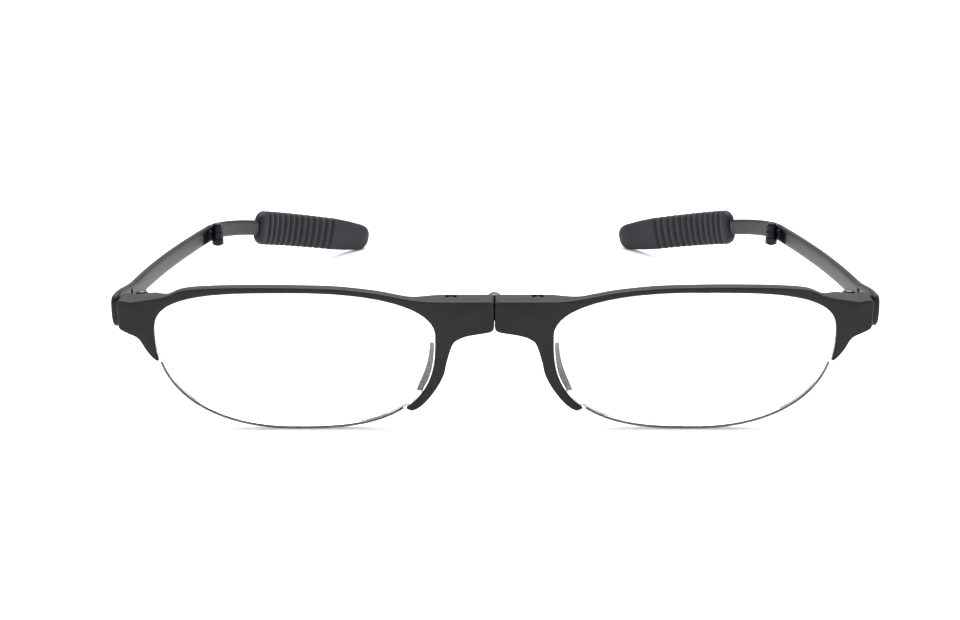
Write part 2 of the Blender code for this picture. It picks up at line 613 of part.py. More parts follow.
def section(place, along, height, thickness, side, count, power=3.2):
    """A rounded upright section square to the path: a superellipse, thickness across, height up."""
    across = np.cross(along, (0, 0, 1))
    across = across / np.linalg.norm(across)
    up = np.cross(across, along)
    ring = []
    for turn in np.arange(count) * 2 * math.pi / count + math.pi / count:
        c, s = math.cos(turn), math.sin(turn)
        u = math.copysign(abs(c) ** (2 / power), c) * thickness / 2
        v = math.copysign(abs(s) ** (2 / power), s) * height / 2
        ring.append(place + across * u + up * v)
    return np.array(ring) * (side, 1, 1)


def forward_path():
    """Control points of the forward arm's centre line, straight at the front and leaning in behind."""
    start = np.array([ARM_X, END_AXIS_Y - KNUCKLE_RADIUS - HINGE_GAP - ARM_OVERLAP, END_Z])
    end = np.array([ARM_X - MID_INSET, MID_HINGE_Y - ARM_GAP, END_Z - MID_DROP])
    run = end[1] - start[1]
    return [start, start + (0, 0.38 * run, 0), end + (0.55 * MID_INSET, -0.3 * run, 0.45 * MID_DROP), end]


def rear_path(tip_height):
    """Control points of the rear arm's centre line, curving in and down to the tip."""
    front = forward_path()
    along = (front[3] - front[2]) / np.linalg.norm(front[3] - front[2])
    start = front[3] + along * 2 * ARM_GAP
    end = np.array([ARM_X - TIP_INSET, ARM_LENGTH, tip_height])
    run = end[1] - start[1]
    return [start, start + along * 0.25 * run, end + (0.62 * (start[0] - end[0]), -0.34 * run, TIP_FALL), end]


def mid_frame(side):
    """Place and turn of the mid-arm hinge: on the arm's inner side, square to the arm."""
    path = forward_path()
    along = (path[3] - path[2]) / np.linalg.norm(path[3] - path[2])
    outward = np.cross(along, (0, 0, 1))
    outward = outward / np.linalg.norm(outward)
    reach = ARM_THICKNESS / 2 + HINGE_GAP + KNUCKLE_RADIUS
    centre = path[3] + along * ARM_GAP - outward * reach
    turn = math.atan2(-along[0], along[1])
    return (side * centre[0], centre[1], END_Z - MID_DROP), side * turn


def capped_sections(path, stations, side, count=12):
    """Sections along a path; stations are (parameter, height, thickness)."""
    places, along = bezier(path, [station[0] for station in stations])
    return [section(place, way, height, thickness, side, count)
            for place, way, (_, height, thickness) in zip(places, along, stations)]


def make_forward_arm(name, side, material, parent):
    """The forward arm: a tall rounded front end beside the end piece, then a slim bar to the mid hinge."""
    path = forward_path()
    stations = [(0.0, ARM_FRONT_HEIGHT * 0.55, ARM_THICKNESS * 0.6),
                (0.006, ARM_FRONT_HEIGHT * 0.84, ARM_THICKNESS * 0.92)]
    for t in np.linspace(0.02, 1.0, 14):
        height = ARM_HEIGHT + (ARM_FRONT_HEIGHT - ARM_HEIGHT) * smooth_step(t, 0.2, 0.03)
        stations.append((t, height, ARM_THICKNESS))
    arm = add_object(name, ring_mesh(name, capped_sections(path, stations, side)), material)
    face = ARM_X - ARM_THICKNESS / 2
    pocket = box_mesh(np.array([side * (face - MM), END_AXIS_Y - 1.4 * MM - SLOT_GAP,
                                END_Z - LEAF_HEIGHT / 2 - SLOT_GAP]),
                      np.array([side * (face + LEAF + 2 * SLOT_GAP), END_AXIS_Y + LEAF_LENGTH + SLOT_GAP,
                                END_Z + LEAF_HEIGHT / 2 + SLOT_GAP]))
    cut_or_join(arm, [pocket, mid_pocket(side, -1)], "DIFFERENCE")
    arm.parent = parent
    return arm


def mid_pocket(side, way):
    """The recess for a mid-hinge leaf in the arm's inner face, ahead of (-1) or behind (1) the hinge."""
    centre, turn = mid_frame(side)
    face = KNUCKLE_RADIUS + HINGE_GAP
    tall = LEAF_HEIGHT / 2 + SLOT_GAP
    pocket = box_mesh(np.array([side * (face - MM), -way * MM, -tall]),
                      np.array([side * (face + LEAF + 2 * SLOT_GAP), way * (LEAF_LENGTH + SLOT_GAP), tall]))
    pocket.transform(Matrix.Translation(Vector(centre)) @ Matrix.Rotation(turn, 4, "Z"))
    return pocket


def grip_stations():
    """Outer size of the grip along the rear path: a collar, ribs, a smooth stretch and a round tip."""
    span = 1.0 - GRIP_START
    stations = [(0.0, 0.60, 0.62), (0.012, 0.74, 0.80), (0.05, 0.90, 0.96), (0.10, 1.0, 1.0)]
    first, last = 0.15, 0.66
    pitch = (last - first) / RIB_COUNT
    for i in range(RIB_COUNT):
        start = first + i * pitch
        valley_high = 1 - 2 * RIB_DEPTH / GRIP_HEIGHT
        valley_thick = 1 - 2 * RIB_DEPTH / GRIP_THICKNESS
        stations += [(start, 1.0, 1.0), (start + 0.4 * pitch, valley_high, valley_thick),
                     (start + 0.6 * pitch, valley_high, valley_thick)]
    stations += [(last, 1.0, 1.0), (0.80, 0.94, 1.0)]
    tip = TIP_HEIGHT / GRIP_HEIGHT
    stations += [(0.92, 0.5 * (tip + 0.94), 0.98), (0.955, tip, 0.9), (0.98, 0.8 * tip, 0.72),
                 (0.994, 0.52 * tip, 0.48), (1.0, 0.2 * tip, 0.2)]
    return [(GRIP_START + span * t, GRIP_HEIGHT * high, GRIP_THICKNESS * thick) for t, high, thick in stations]


def core_end():
    """Where the rear arm's core ends inside the grip."""
    return GRIP_START + 0.86 * (1 - GRIP_START)


def grip_rings(tip_height, side):
    """The grip's skin: out of the blind bore, round the mouth and back along the outside to the tip."""
    path = rear_path(tip_height)
    blind = core_end() + 0.012
    bore_height = CORE_HEIGHT + 2 * CORE_GAP
    bore_thickness = CORE_THICKNESS + 2 * CORE_GAP
    bore = [(t, bore_height, bore_thickness) for t in np.linspace(blind, GRIP_START, 5)]
    return capped_sections(path, bore + grip_stations(), side)


def resting_tip_height():
    """Height of the tip's centre at which the grip just touches Z = 0."""
    height = TIP_HEIGHT / 2
    for _ in range(4):
        lowest = min(ring[:, 2].min() for ring in grip_rings(height, 1))
        height -= lowest
    return height


def make_rear_arm(name, side, tip_height, material, parent):
    """The rear arm: a slim bar from the mid hinge with a thinner core inside the grip."""
    path = rear_path(tip_height)
    shoulder = GRIP_START - 0.012
    stations = [(t, ARM_HEIGHT, ARM_THICKNESS) for t in np.linspace(0.0, shoulder, 9)]
    stations += [(shoulder + 0.003, CORE_HEIGHT, CORE_THICKNESS)]
    stations += [(t, CORE_HEIGHT, CORE_THICKNESS) for t in np.linspace(shoulder + 0.02, core_end(), 6)]
    arm = add_object(name, ring_mesh(name, capped_sections(path, stations, side)), material)
    cut_or_join(arm, [mid_pocket(side, 1)], "DIFFERENCE")
    arm.parent = parent
    return arm


# ---------------------------------------------------------------- assembly

def hang(item, empty):
    """Parent a piece that was modelled in the glasses' own frame to an empty, and keep it in place."""
    place = Vector(empty.location)
    above = empty.parent
    while above is not None and above.parent is not None:
        place += Vector(above.location)
        above = above.parent
    item.parent = empty
    item.data.transform(Matrix.Translation(-place))


def body_empties(tip_height):
    """The empties of the six bodies, each on its joint's axis; the right half is the base.

    The origin is half-way between the front of the lenses and the arms' tips.
    """
    depth = max(ring[:, 1].max() for ring in grip_rings(tip_height, 1))
    base = add_empty("glasses", (0, -depth / 2, 0))
    empties = {"right_front": add_empty("right_front_body", (0, 0, 0), base)}
    bridge_axis = np.array([0, BRIDGE_AXIS_Y, BRIDGE_Z])
    empties["left_front"] = add_empty("left_front_body", bridge_axis, base)
    for word, side in (("right", -1), ("left", 1)):
        front = empties[f"{word}_front"]
        origin = bridge_axis if word == "left" else np.zeros(3)
        arm_axis = np.array([side * END_AXIS_X, END_AXIS_Y, END_Z])
        empties[f"{word}_arm"] = add_empty(f"{word}_arm_body", arm_axis - origin, front)
        mid_axis = np.array(mid_frame(side)[0])
        empties[f"{word}_rear"] = add_empty(f"{word}_rear_body", mid_axis - arm_axis,
                                            empties[f"{word}_arm"])
    return empties


def build():
    """Make every piece of the glasses."""
    clear_scene()
    materials = {
        "frame": make_material("matte_black_plastic", (0.028, 0.028, 0.036), 0.5),
        "lens": make_material("clear_lens", (0.95, 0.97, 1.0), 0.03, 0.0, 1.0),
        "thread": make_material("nylon_thread", (0.25, 0.25, 0.28), 0.3),
        "grip": make_material("soft_rubber", (0.035, 0.034, 0.046), 0.7),
        "steel": make_material("hinge_steel", (0.10, 0.10, 0.11), 0.35, 0.9),
        "dark_steel": make_material("black_hinge_steel", (0.02, 0.02, 0.022), 0.25, 0.9),
    }
    tip_height = resting_tip_height()
    empties = body_empties(tip_height)
    for word, side in (("right", -1), ("left", 1)):
        front = empties[f"{word}_front"]
        arm = empties[f"{word}_arm"]
        rear = empties[f"{word}_rear"]
        make_half(f"{word}_front_half", side, materials["frame"], front)
        make_lens(f"{word}_lens", side, materials["lens"], front)
        make_thread(f"{word}_lens_thread", side, materials["thread"], front)
        make_end_hinge(word, side, materials, front, arm)
        make_forward_arm(f"{word}_forward_arm", side, materials["frame"], arm)
        make_mid_hinge(word, side, mid_frame(side), materials, arm, rear)
        make_rear_arm(f"{word}_rear_arm", side, tip_height, materials["frame"], rear)
        grip = ring_mesh(f"{word}_grip", grip_rings(tip_height, side))
        add_object(f"{word}_grip", grip, materials["grip"], rear)
    make_bridge_hinge(materials, empties["right_front"], empties["left_front"])
    for item in [item for item in bpy.data.objects if item.type == "MESH"]:
        hang(item, item.parent)


build()
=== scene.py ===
"""Folding reading glasses on a pale floor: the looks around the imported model."""
import json
import math

import bpy
import numpy as np
from mathutils import Matrix, Vector


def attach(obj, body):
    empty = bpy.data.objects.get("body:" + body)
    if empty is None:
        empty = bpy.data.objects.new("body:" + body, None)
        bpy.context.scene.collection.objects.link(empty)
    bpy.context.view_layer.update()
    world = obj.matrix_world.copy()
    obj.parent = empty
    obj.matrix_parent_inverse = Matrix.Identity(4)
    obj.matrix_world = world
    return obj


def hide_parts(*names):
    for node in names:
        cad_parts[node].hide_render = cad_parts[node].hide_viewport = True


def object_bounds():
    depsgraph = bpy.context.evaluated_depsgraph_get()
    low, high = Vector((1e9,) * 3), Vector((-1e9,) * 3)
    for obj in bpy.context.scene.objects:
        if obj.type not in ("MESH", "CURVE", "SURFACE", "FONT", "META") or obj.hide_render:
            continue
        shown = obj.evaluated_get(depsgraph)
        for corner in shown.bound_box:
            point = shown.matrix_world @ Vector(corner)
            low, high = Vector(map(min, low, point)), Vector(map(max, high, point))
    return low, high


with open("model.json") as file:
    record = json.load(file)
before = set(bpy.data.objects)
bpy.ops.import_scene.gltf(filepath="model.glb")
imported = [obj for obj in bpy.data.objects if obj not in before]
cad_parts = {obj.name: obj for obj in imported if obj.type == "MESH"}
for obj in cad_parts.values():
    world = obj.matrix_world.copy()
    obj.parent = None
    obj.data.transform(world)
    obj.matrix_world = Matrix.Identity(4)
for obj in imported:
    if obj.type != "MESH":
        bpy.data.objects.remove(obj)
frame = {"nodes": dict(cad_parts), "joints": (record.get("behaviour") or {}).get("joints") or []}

CAD_BOX = [list(corner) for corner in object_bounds()]
LOW, HIGH = np.array(CAD_BOX)
MM = 0.001

# Sizes, the same as the CAD's: the lens
LENS_WIDTH, LENS_HEIGHT, LENS_WIDEST = 47.6 * MM, 24.4 * MM, 16.4 * MM
LENS_THICKNESS, FRONT_RADIUS, BACK_RADIUS = 1.9 * MM, 200 * MM, 333 * MM
LENS_FLAT = 0.072 * MM          # the front sphere's crown is flattened to here, inside the CAD's box
LENS_GAP, BEVEL, GROOVE, THREAD_RADIUS = 0.10 * MM, 0.35 * MM, 0.60 * MM, 0.24 * MM

# The front halves
FRONT_WIDTH, SEAM_GAP = 131.0 * MM, 0.10 * MM
BRIDGE_WIDTH, BRIDGE_HEIGHT, BRIDGE_DEPTH = 20.4 * MM, 5.5 * MM, 4.6 * MM
END_HEIGHT, END_DEPTH, END_DROP = 5.1 * MM, 5.0 * MM, 1.45 * MM
RIM_FACE, RIM_CORNER, RIM_DEPTH = 1.05 * MM, 1.9 * MM, 2.2 * MM
EDGE = 0.30 * MM                # rounding of the moulded edges
STEP_START, STEP_RUN = 0.5 * MM, 0.7 * MM
NOSE_ARM_WIDTH = 2.3 * MM
LUG_END, NOSE_END = -10.0, 214.0    # polar angles of the rim's two ends, in degrees
PAD_START, PAD_SPAN = 184.0, 20.0   # polar angles that the nose pad covers, in degrees
PAD_REACH, PAD_FLARE, PAD_THICKNESS = 4.6 * MM, 2.2 * MM, 1.0 * MM

# The arms and grips
ARM_HEIGHT, ARM_THICKNESS, ARM_FRONT_HEIGHT, ARM_OVERLAP = 3.4 * MM, 1.5 * MM, 5.6 * MM, 3.2 * MM
MID_HINGE_Y, MID_INSET, MID_DROP, ARM_GAP = 65 * MM, 4.0 * MM, 2.6 * MM, 0.15 * MM
ARM_LENGTH, TIP_INSET, TIP_FALL = 121 * MM, 33.0 * MM, 7.5 * MM
GRIP_START, GRIP_HEIGHT, GRIP_THICKNESS, TIP_HEIGHT = 0.44, 7.8 * MM, 2.9 * MM, 5.6 * MM
RIB_COUNT, RIB_DEPTH = 12, 0.45 * MM
RIBS_START, RIBS_END = 0.055, 0.70  # share of the grip's length that has ribs
TIP_SHARE, MOUTH_SHARE = 0.055, 0.012   # share of its length that rounds off at each end

# The hinges
KNUCKLE_RADIUS, HINGE_GAP, SLOT_GAP = 1.25 * MM, 0.15 * MM, 0.12 * MM
LEAF, LEAF_LENGTH, LEAF_HEIGHT = 0.60 * MM, 5.2 * MM, 2.3 * MM
TONGUE_LENGTH, TONGUE_DEPTH, TONGUE_THICKNESS = 7.4 * MM, 2.5 * MM, 1.0 * MM
SCREW_X, SCREW_SINK, PIN_GAP = 7.4 * MM, 0.35 * MM, 0.10 * MM
HEAD_RADIUS, HEAD_HEIGHT = 0.95 * MM, 0.40 * MM
CUT_CLEAR = 2 * MM              # how far a pocket's tool stands out of the piece

# Places that follow from them, with Y measured from the front of the lens
THREAD_CENTRE = -GROOVE + 1.6 * (THREAD_RADIUS + 0.05 * MM)
LENS_BOTTOM = THREAD_CENTRE + THREAD_RADIUS
LENS_X = (BRIDGE_WIDTH + LENS_WIDTH) / 2
LENS_Z = LENS_BOTTOM + LENS_WIDEST
LENS_MIDDLE = LENS_BOTTOM + LENS_HEIGHT / 2
LENS_TOP = LENS_BOTTOM + LENS_HEIGHT
END_X = FRONT_WIDTH / 2 - ARM_THICKNESS - ARM_GAP
END_TOP = LENS_TOP - END_DROP
END_Z = END_TOP - END_HEIGHT / 2
BRIDGE_TOP = LENS_TOP - 1.7 * MM
BRIDGE_BOTTOM = BRIDGE_TOP - BRIDGE_HEIGHT
BRIDGE_Z = (BRIDGE_TOP + BRIDGE_BOTTOM) / 2
FRONT_Y = (LENS_WIDTH / 2) ** 2 / (2 * FRONT_RADIUS) - (RIM_DEPTH - LENS_THICKNESS)
BRIDGE_AXIS_Y = FRONT_Y + BRIDGE_DEPTH + KNUCKLE_RADIUS + HINGE_GAP
END_AXIS_Y = FRONT_Y + END_DEPTH + KNUCKLE_RADIUS + HINGE_GAP
END_AXIS_X = END_X - 2.7 * MM
ARM_X = FRONT_WIDTH / 2 - ARM_THICKNESS / 2
JOINT_PLACE = {joint["name"]: joint["pos_m"] for joint in frame["joints"]}
SHIFT = BRIDGE_AXIS_Y - JOINT_PLACE["bridge_fold"][1]   # from the lens's front to the frame's own Y

# Fineness
ROUND = 6                       # points on a rounded corner
OUTLINE_STEPS = 20              # steps of the outer outline between two of its points
LENS_POINTS = 288               # points round a lens
EDGE_SAMPLES = 4000             # samples of the lens's edge when a place on it is looked up
SHARP_ANGLE = 35.0              # edges that turn more than this stay crisp, in degrees

# Finishes
CLOUD_MM = 14                   # size of the slow change of tone over a moulding
TONE_RANGE = (0.12, 0.42)       # what the two noises multiplied together usually span
GRAIN_STRENGTH = 0.6


# ---------------------------------------------------------------- materials

def linear(code):
    """The linear colour of an sRGB hex code."""
    value = np.array([int(code[i:i + 2], 16) for i in (1, 3, 5)]) / 255
    value = np.where(value <= 0.04045, value / 12.92, ((value + 0.055) / 1.055) ** 2.4)
    return (*value.tolist(), 1.0)


def add_node(tree, kind, inputs, **settings):
    """Add a node with its settings; an input is a plain value or another node's output."""
    item = tree.nodes.new(kind)
    for key, value in settings.items():
        setattr(item, key, value)
    for key, value in inputs.items():
        if isinstance(value, bpy.types.NodeSocket):
            tree.links.new(value, item.inputs[key])
        else:
            item.inputs[key].default_value = value
    return item


def make_finish(name, colours, roughness, grain_mm, bump_mm, stretch=(1, 1, 1), **shader_values):
    """A solid finish: fine grain of the given size in millimetres that moves the colour between two close
    tones, the roughness between two values and the surface by a bump of the given height."""
    material = bpy.data.materials.new(name)
    material.use_nodes = True
    tree = material.node_tree
    tree.nodes.clear()
    place = add_node(tree, "ShaderNodeTexCoord", {})
    stretched = add_node(tree, "ShaderNodeMapping", {"Vector": place.outputs["Object"], "Scale": stretch})
    grain = add_node(tree, "ShaderNodeTexNoise",
                     {"Vector": stretched.outputs["Vector"], "Scale": 1000 / grain_mm, "Detail": 3.0,
                      "Roughness": 0.6})
    cloud = add_node(tree, "ShaderNodeTexNoise",
                     {"Vector": place.outputs["Object"], "Scale": 1000 / CLOUD_MM, "Detail": 2.0})
    blend = add_node(tree, "ShaderNodeMath", {0: grain.outputs["Fac"], 1: cloud.outputs["Fac"]},
                     operation="MULTIPLY")
    tone = add_node(tree, "ShaderNodeMapRange", {"Value": blend.outputs["Value"],
                                                 "From Min": TONE_RANGE[0], "From Max": TONE_RANGE[1]})
    colour = add_node(tree, "ShaderNodeMix", {"Factor": tone.outputs["Result"], 6: linear(colours[0]),
                                              7: linear(colours[1])}, data_type="RGBA")
    matt = add_node(tree, "ShaderNodeMapRange", {"Value": grain.outputs["Fac"], "To Min": roughness[0],
                                                 "To Max": roughness[1]})
    bump = add_node(tree, "ShaderNodeBump", {"Height": grain.outputs["Fac"], "Distance": bump_mm * MM,
                                             "Strength": GRAIN_STRENGTH})
    shader = add_node(tree, "ShaderNodeBsdfPrincipled", {"Base Color": colour.outputs[2],
                                                         "Roughness": matt.outputs["Result"],
                                                         "Normal": bump.outputs["Normal"], **shader_values})
    add_node(tree, "ShaderNodeOutputMaterial", {"Surface": shader.outputs["BSDF"]})
    return material


# Injection-moulded nylon with a fine spark-eroded texture: a dead matt, faintly blue black whose edges
# catch a soft grey line. The real grain is about 0.05 mm and is drawn coarser, so that it shows.
MOULDED_NYLON = make_finish("moulded_nylon", ("#0b0a0f", "#131217"), (0.34, 0.46), 0.22, 0.010,
                            **{"IOR": 1.53, "Specular IOR Level": 0.22})
# Soft thermoplastic rubber moulded over the arm: rougher and a little greyer, with a velvety edge. Its
# grain is drawn coarser than the real 0.1 mm.
SOFT_RUBBER = make_finish("soft_rubber", ("#121118", "#1d1c24"), (0.48, 0.62), 0.30, 0.020,
                          **{"IOR": 1.50, "Specular IOR Level": 0.22, "Sheen Weight": 0.03,
                             "Sheen Roughness": 0.5})
# Drawn nylon monofilament: smooth and slightly clear. Its dark grey is painted shade, standing for the
# shade of the lens's groove where the line lies.
NYLON_LINE_PAINTED_SHADE = make_finish("drawn_nylon_line_painted_shade", ("#2c2c31", "#3a3a40"), (0.22, 0.30), 0.20, 0.003,
                         **{"IOR": 1.53, "Transmission Weight": 0.15})
# Blackened spring steel: a glossy black oxide that keeps the turning marks of the barrel.
BLACK_STEEL = make_finish("blackened_steel", ("#17171a", "#232327"), (0.20, 0.30), 0.18, 0.004,
                          stretch=(0.25, 0.25, 1), Metallic=0.9)
# Turned stainless steel for the bridge's hinge and screws: grey with fine turning lines.
TURNED_STEEL = make_finish("turned_stainless_steel", ("#3c3c40", "#55555a"), (0.26, 0.38), 0.15, 0.004,
                           stretch=(0.25, 0.25, 1), Metallic=1.0)
# Pale laminate under soft light.
PALE_FLOOR = make_finish("pale_laminate", ("#f4f4f5", "#f9f9fa"), (0.55, 0.65), 2.0, 0.004, IOR=1.45)


def make_lens_resin():
    """Cast and polished allyl resin: clear, with a trace of blue that gathers at the edge, and the
    slightest waviness left by hand polishing."""
    material = bpy.data.materials.new("cast_lens_resin")
    material.use_nodes = True
    tree = material.node_tree
    tree.nodes.clear()
    place = add_node(tree, "ShaderNodeTexCoord", {})
    wave = add_node(tree, "ShaderNodeTexNoise", {"Vector": place.outputs["Object"], "Scale": 1000 / 16,
                                                 "Detail": 1.0})
    colour = add_node(tree, "ShaderNodeMix", {"Factor": wave.outputs["Fac"], 6: linear("#ffffff"),
                                              7: linear("#fbfdff")}, data_type="RGBA")
    bump = add_node(tree, "ShaderNodeBump", {"Height": wave.outputs["Fac"], "Distance": 0.004 * MM,
                                             "Strength": 0.3})
    shader = add_node(tree, "ShaderNodeBsdfPrincipled",
                      {"Base Color": colour.outputs[2], "Roughness": 0.01, "IOR": 1.498,
                       "Transmission Weight": 1.0, "Normal": bump.outputs["Normal"]})
    add_node(tree, "ShaderNodeOutputMaterial", {"Surface": shader.outputs["BSDF"]})
    return material


LENS_RESIN = make_lens_resin()


# ---------------------------------------------------------------- surfaces

def skin(grid):
    """Points, faces and triangles of a closed skin over a grid of rings, with a pole at each end."""
    rows, count = grid.shape[:2]
    points = np.vstack([grid.reshape(-1, 3), grid[0].mean(axis=0)[None], grid[-1].mean(axis=0)[None]])
    here = np.arange(count)
    beside = (here + 1) % count
    first = np.arange(rows - 1)[:, None] * count
    quads = np.stack([first + here, first + beside, first + count + beside, first + count + here], axis=-1)
    quads = quads.reshape(-1, 4)
    last = (rows - 1) * count
    near = np.stack([beside, here, np.full(count, rows * count)], axis=1)
    far = np.stack([last + here, last + beside, np.full(count, rows * count + 1)], axis=1)
    triangles = np.vstack([quads[:, [0, 1, 2]], quads[:, [0, 2, 3]], near, far])
    corner = points[triangles]
    volume = np.einsum("ij,ij->i", corner[:, 0], np.cross(corner[:, 1], corner[:, 2])).sum()
    caps = np.vstack([near, far])
    if volume < 0:
        quads, caps = quads[:, ::-1], caps[:, ::-1]
    return points, quads.tolist() + caps.tolist()


def finish_mesh(mesh, smooth_angle):
    """Shade the round parts smooth and keep the edges crisp."""
    mesh.shade_smooth()
    mesh.set_sharp_from_angle(angle=math.radians(smooth_angle))


def add_skin(name, grid, material, smooth_angle=SHARP_ANGLE):
    """An object with a closed skin over the grid, moved from the lens's frame to the model's and kept
    inside the CAD's box, which its finer curves would leave by a few thousandths of a millimetre."""
    points, faces = skin(np.clip(grid - (0, SHIFT, 0), LOW, HIGH))
    mesh = bpy.data.meshes.new(name)
    mesh.from_pydata(points, [], faces)
    finish_mesh(mesh, smooth_angle)
    mesh.materials.append(material)
    item = bpy.data.objects.new(name, mesh)
    bpy.context.scene.collection.objects.link(item)
    return item


def block(low, high):
    """Grid of a box between two corners: four corner lines from one end to the other along X."""
    low, high = np.minimum(low, high), np.maximum(low, high)
    y = np.array([low[1], high[1], high[1], low[1]])
    z = np.array([low[2], low[2], high[2], high[2]])
    return np.stack([np.stack([np.full(4, x), y, z], axis=1) for x in (low[0], high[0])])


def turned(centre, profile, count=48):
    """Grid of an upright turned piece: the profile's radius goes once round its axis."""
    radius, height = np.array(profile).T
    turn = np.arange(count) * 2 * math.pi / count
    x = centre[0] + radius[:, None] * np.cos(turn)
    y = centre[1] + radius[:, None] * np.sin(turn)
    z = np.broadcast_to(centre[2] + height[:, None], x.shape)
    return np.stack([x, y, z], axis=-1)


def cut(item, grids):
    """Cut the pockets out of a piece: each grid is the skin of one pocket."""
    points, faces, start = [], [], 0
    for grid in grids:
        some, loops = skin(grid - (0, SHIFT, 0))
        points.append(some)
        faces += [[start + i for i in loop] for loop in loops]
        start += len(some)
    mesh = bpy.data.meshes.new("pockets")
    mesh.from_pydata(np.vstack(points), [], faces)
    tool = bpy.data.objects.new("pockets", mesh)
    bpy.context.scene.collection.objects.link(tool)
    step = item.modifiers.new("pockets", "BOOLEAN")
    step.operation, step.solver, step.object = "DIFFERENCE", "EXACT", tool
    graph = bpy.context.evaluated_depsgraph_get()
    made = bpy.data.meshes.new_from_object(item.evaluated_get(graph))
    item.modifiers.clear()
    made.materials.clear()
    made.materials.append(item.data.materials[0])
    item.data = made
    finish_mesh(made, SHARP_ANGLE)
    bpy.data.objects.remove(tool)


def smooth_step(value, low, high):
    """0 below low, 1 above high and a smooth rise between (low may be above high)."""
    t = np.clip((value - low) / (high - low), 0.0, 1.0)
    return t * t * (3 - 2 * t)


def smooth_line(points, steps):
    """A Catmull-Rom curve through the points, with equal steps between neighbours."""
    points = np.asarray(points, dtype=float)
    padded = np.vstack([2 * points[0] - points[1], points, 2 * points[-1] - points[-2]])
    t = (np.arange(steps) / steps)[None, :, None]
    a, b, c, d = (padded[i:len(padded) - 3 + i, None] for i in range(4))
    pieces = 0.5 * (2 * b + (c - a) * t + (2 * a - 5 * b + 4 * c - d) * t ** 2
                    + (3 * b - a - 3 * c + d) * t ** 3)
    return np.vstack([pieces.reshape(-1, 2), points[-1:]])


def bezier(points, t):
    """A cubic Bezier curve and its direction at the parameters t."""
    a, b, c, d = (np.asarray(point, dtype=float) for point in points)
    t = np.asarray(t, dtype=float)[:, None]
    s = 1 - t
    place = s ** 3 * a + 3 * s ** 2 * t * b + 3 * s * t ** 2 * c + t ** 3 * d
    along = 3 * s ** 2 * (b - a) + 6 * s * t * (c - b) + 3 * t ** 2 * (d - c)
    return place, along / np.linalg.norm(along, axis=1)[:, None]


def bar(path, t, height, thickness, side, count=64, power=3.2):
    """Grid of a rounded bar: upright superellipses square to a Bezier path, |u|^p + |v|^p = 1, as thick
    and as high as given at each parameter t."""
    place, along = bezier(path, t)
    across = np.cross(along, (0, 0, 1))
    across /= np.linalg.norm(across, axis=1)[:, None]
    up = np.cross(across, along)
    turn = np.arange(count) * 2 * math.pi / count + math.pi / count
    u = np.sign(np.cos(turn)) * np.abs(np.cos(turn)) ** (2 / power) / 2
    v = np.sign(np.sin(turn)) * np.abs(np.sin(turn)) ** (2 / power) / 2
    width = (thickness[:, None] * u)[..., None]
    rise = (height[:, None] * v)[..., None]
    return (place[:, None] + across[:, None] * width + up[:, None] * rise) * (side, 1, 1)


# ---------------------------------------------------------------- lenses

def lens_edge(angle, out=0.0):
    """Point of the left lens's outline at a polar angle in degrees, moved out square to the edge.

    The outline is four quarter superellipses |x/a|^p + |z/b|^p = 1 about the middle of the widest line.
    """
    angle = np.radians(np.asarray(angle, dtype=float))
    across, up = np.cos(angle), np.sin(angle)
    half_width = LENS_WIDTH / 2
    half_height = np.where(up > 0, LENS_HEIGHT - LENS_WIDEST, LENS_WIDEST)
    power = np.where(across > 0, np.where(up > 0, 3.1, 2.25), np.where(up > 0, 2.2, 2.8))
    radius = (np.abs(across / half_width) ** power + np.abs(up / half_height) ** power) ** (-1 / power)
    x, z = radius * across, radius * up
    normal_x = np.sign(x) * np.abs(x / half_width) ** (power - 1) / half_width
    normal_z = np.sign(z) * np.abs(z / half_height) ** (power - 1) / half_height
    length = np.hypot(normal_x, normal_z)
    return np.stack([LENS_X + x + out * normal_x / length, LENS_Z + z + out * normal_z / length], axis=-1)


def even_angles(start, end, count):
    """Polar angles between two that step evenly along the lens's edge."""
    fine = np.linspace(start, end, EDGE_SAMPLES)
    points = lens_edge(fine)
    run = np.concatenate([[0.0], np.cumsum(np.linalg.norm(np.diff(points, axis=0), axis=1))])
    return np.interp(np.linspace(0, run[-1], count), run, fine)


def lens_face(points, back=False):
    """Y of the lens's front or back: two shallow spheres, r^2 / 2R behind the lens's middle."""
    reach = (points[..., 0] - LENS_X) ** 2 + (points[..., 1] - LENS_MIDDLE) ** 2
    if back:
        return LENS_THICKNESS + reach / (2 * BACK_RADIUS)
    return np.maximum(reach / (2 * FRONT_RADIUS), LENS_FLAT)


def edge_middle(points):
    """Y half-way through the lens at its edge."""
    return (lens_face(points) + lens_face(points, back=True)) / 2


